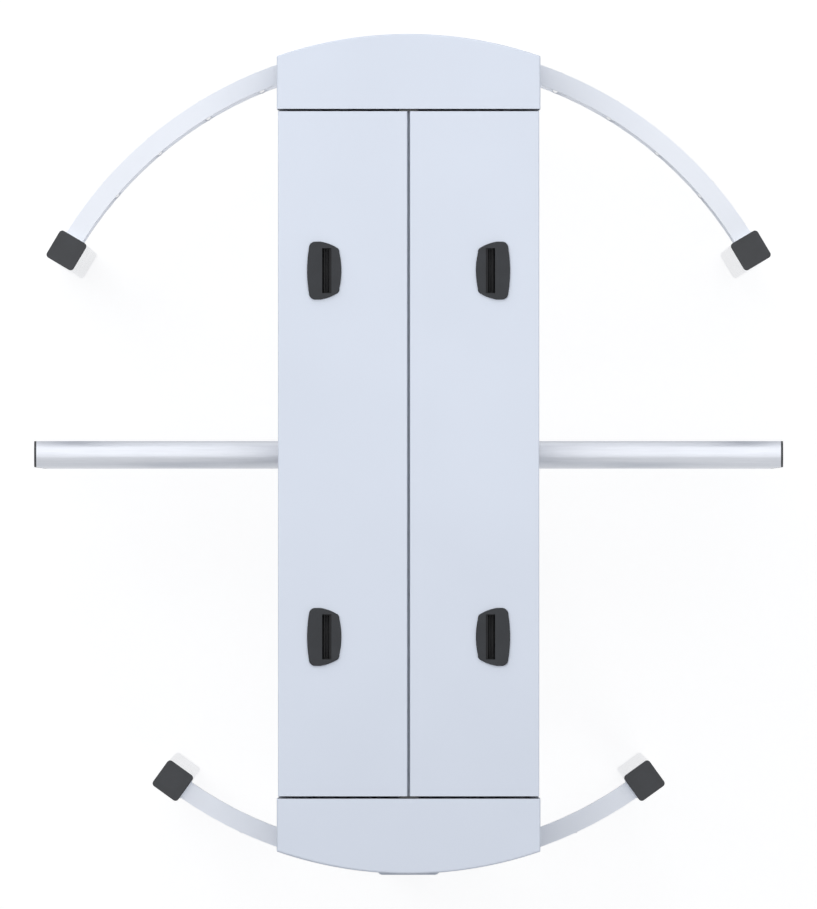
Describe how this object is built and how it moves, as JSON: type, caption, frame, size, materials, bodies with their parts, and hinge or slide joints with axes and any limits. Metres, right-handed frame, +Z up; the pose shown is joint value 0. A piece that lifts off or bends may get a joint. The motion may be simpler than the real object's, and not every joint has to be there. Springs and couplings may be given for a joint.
{
  "type": "full height turnstile",
  "caption": "Full height turnstile: a rotor of tubular arm wings between curved barred guards, closed by a barrier comb on one half, under a box header with latched lids.",
  "frame": {"origin": "on the floor on the rotor's axis", "axes": "+Z up; -Y is the passage half and +Y the closed half; the two passage sides are +X and -X"},
  "size_m": [1.206, 1.352, 2.304],
  "materials": {
    "powder_coat": "satin powder coat",
    "rail_coat": "satin powder coat",
    "stainless": "brushed stainless steel",
    "zinc_plate": "zinc plated",
    "bright_steel": "machined",
    "cast_iron": "painted casting",
    "bronze": "machined bronze",
    "dark_plastic": "fine grain",
    "slider_plastic": "smooth",
    "seal_rubber": "foam",
    "cast_aluminium": "cast",
    "motor_paint": "semi-gloss",
    "enclosure_plastic": "smooth"
  },
  "bodies": {
    "frame": {"main_posts": "powder_coat", "post_plates": "zinc_plate", "corner_posts": "stainless", "corner_post_caps": "dark_plastic", "guard_top_rails": "rail_coat", "guard_flat_rails": "rail_coat", "guard_bars": "stainless", "barrier_fingers": "stainless", "column_floor_plate": "zinc_plate", "pivot_housing": "cast_iron", "pivot_bush": "bronze", "header_pan": "powder_coat", "header_side_panels": "powder_coat", "lower_frame_tubes": "zinc_plate", "upper_frame_tubes": "zinc_plate", "centre_hinge_beam": "zinc_plate", "hinge_brackets": "zinc_plate", "pivot_pins": "bright_steel", "door_seals": "seal_rubber", "north_end_cover": "powder_coat", "south_end_cover": "powder_coat", "end_cover_screws": "bright_steel", "frame_bolts": "bright_steel", "mechanism_plate": "zinc_plate", "bearing_housing": "cast_iron", "bearing_outer_ring": "bright_steel", "gearbox": "cast_aluminium", "drive_motor": "motor_paint", "lock_solenoids": "motor_paint", "index_sensor": "dark_plastic", "bay_trays": "zinc_plate", "control_box": "enclosure_plastic", "power_supply": "cast_aluminium", "cable_gland": "dark_plastic"},
    "rotor": {"rotor_column": "stainless", "column_end_discs": "zinc_plate", "pivot_pin": "bright_steel", "rotor_shaft": "bright_steel", "shaft_flange_bolts": "bright_steel", "bearing_inner_ring": "bright_steel", "lock_wheel": "bright_steel", "lock_segments": "bright_steel", "drive_gear": "bright_steel", "index_disc": "cast_aluminium", "shaft_nut": "bright_steel", "rotor_arms": "stainless", "arm_end_plugs": "dark_plastic"},
    "pinion": {"drive_pinion": "bright_steel"},
    "right_lid": {"right_door": "powder_coat", "right_latch_housings": "dark_plastic"},
    "left_lid": {"left_door": "powder_coat", "left_latch_housings": "dark_plastic"},
    "north_right_slider": {"north_right_latch": "slider_plastic"},
    "south_right_slider": {"south_right_latch": "slider_plastic"},
    "north_left_slider": {"north_left_latch": "slider_plastic"},
    "south_left_slider": {"south_left_latch": "slider_plastic"},
    "south_lock": {"south_pawl": "bright_steel"},
    "north_lock": {"north_pawl": "bright_steel"},
    "south_link": {"south_plunger": "bright_steel"},
    "north_link": {"north_plunger": "bright_steel"}
  },
  "joints": [
    {"name": "rotor_spin", "type": "hinge", "parent": "frame", "child": "rotor", "pos_m": [0, 0, 0], "axis": [0, 0, 1], "continuous": true},
    {"name": "pinion_spin", "type": "hinge", "parent": "frame", "child": "pinion", "pos_m": [0.1, 0, 0], "axis": [0, 0, 1], "continuous": true},
    {"name": "right_door_hinge", "type": "hinge", "parent": "frame", "child": "right_lid", "pos_m": [0.008, 0, 2.294], "axis": [0, -1, 0], "range_deg": [0, 80]},
    {"name": "left_door_hinge", "type": "hinge", "parent": "frame", "child": "left_lid", "pos_m": [-0.008, 0, 2.294], "axis": [0, 1, 0], "range_deg": [0, 80]},
    {"name": "north_right_latch_slide", "type": "slide", "parent": "right_lid", "child": "north_right_slider", "axis": [1, 0, 0], "range_m": [0, 0.0115]},
    {"name": "north_left_latch_slide", "type": "slide", "parent": "left_lid", "child": "north_left_slider", "axis": [-1, 0, 0], "range_m": [0, 0.0115]},
    {"name": "south_right_latch_slide", "type": "slide", "parent": "right_lid", "child": "south_right_slider", "axis": [1, 0, 0], "range_m": [0, 0.0115]},
    {"name": "south_left_latch_slide", "type": "slide", "parent": "left_lid", "child": "south_left_slider", "axis": [-1, 0, 0], "range_m": [0, 0.0115]},
    {"name": "south_pawl_swing", "type": "hinge", "parent": "frame", "child": "south_lock", "pos_m": [0.06, -0.104, 0], "axis": [0, 0, -1], "range_deg": [0, 12]},
    {"name": "south_plunger_pull", "type": "slide", "parent": "frame", "child": "south_link", "axis": [0, -1, 0], "range_m": [0, 0.0063]},
    {"name": "north_pawl_swing", "type": "hinge", "parent": "frame", "child": "north_lock", "pos_m": [-0.06, 0.104, 0], "axis": [0, 0, -1], "range_deg": [0, 12]},
    {"name": "north_plunger_pull", "type": "slide", "parent": "frame", "child": "north_link", "axis": [0, 1, 0], "range_m": [0, 0.0063]}
  ],
  "couplings": [
    {"joint": "pinion_spin", "follows": "rotor_spin", "ratio": -4},
    {"joint": "south_plunger_pull", "follows": "south_pawl_swing", "m_per_rad": 0.03},
    {"joint": "north_plunger_pull", "follows": "north_pawl_swing", "m_per_rad": 0.03}
  ]
}
